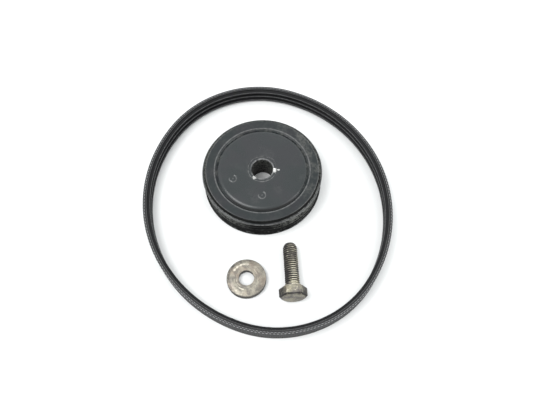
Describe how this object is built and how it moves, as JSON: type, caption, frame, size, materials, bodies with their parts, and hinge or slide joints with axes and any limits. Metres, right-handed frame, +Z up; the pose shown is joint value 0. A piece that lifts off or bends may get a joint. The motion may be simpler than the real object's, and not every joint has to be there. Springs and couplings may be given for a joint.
{
  "type": "v-belt pulley",
  "caption": "Black steel multi-groove belt pulley with a pressed web and plain hub bore, laid out with its ribbed belt, hex bolt and thick washer.",
  "frame": {"origin": "centre of the belt loop on the surface that everything lies on", "axes": "+Z up, along the pulley's axis; +Y from the bolt and washer towards the pulley; +X to the right"},
  "size_m": [0.1396, 0.1524, 0.0159],
  "materials": {
    "black_paint": "semi-gloss black paint with chips and scuffs",
    "belt_rubber": "matt black rubber, slightly shiny where worn",
    "cord_layer": "matt rubber over tension cords",
    "washer_zinc": "dull weathered zinc",
    "bolt_zinc": "dull yellowish zinc with grime in the thread"
  },
  "bodies": {
    "belt": {"belt_backing": "belt_rubber", "belt_cord_layer": "cord_layer", "belt_ribs": "belt_rubber"},
    "pulley": {"grooved_rim": "black_paint", "front_web": "black_paint", "rear_web": "black_paint", "hub_sleeve": "black_paint"},
    "washer": {"flat_washer": "washer_zinc"},
    "bolt": {"hex_bolt": "bolt_zinc"}
  },
  "joints": [
    {"name": "pulley_spin", "type": "hinge", "parent": "belt", "child": "pulley", "pos_m": [-0.0028, 0.0155, 0], "axis": [0, 0, 1], "continuous": true},
    {"name": "washer_lift", "type": "slide", "parent": "belt", "child": "washer", "axis": [0, 0, 1], "range_m": [0, 0.05]},
    {"name": "bolt_lift", "type": "slide", "parent": "belt", "child": "bolt", "axis": [0, 0, 1], "range_m": [0, 0.06]}
  ]
}
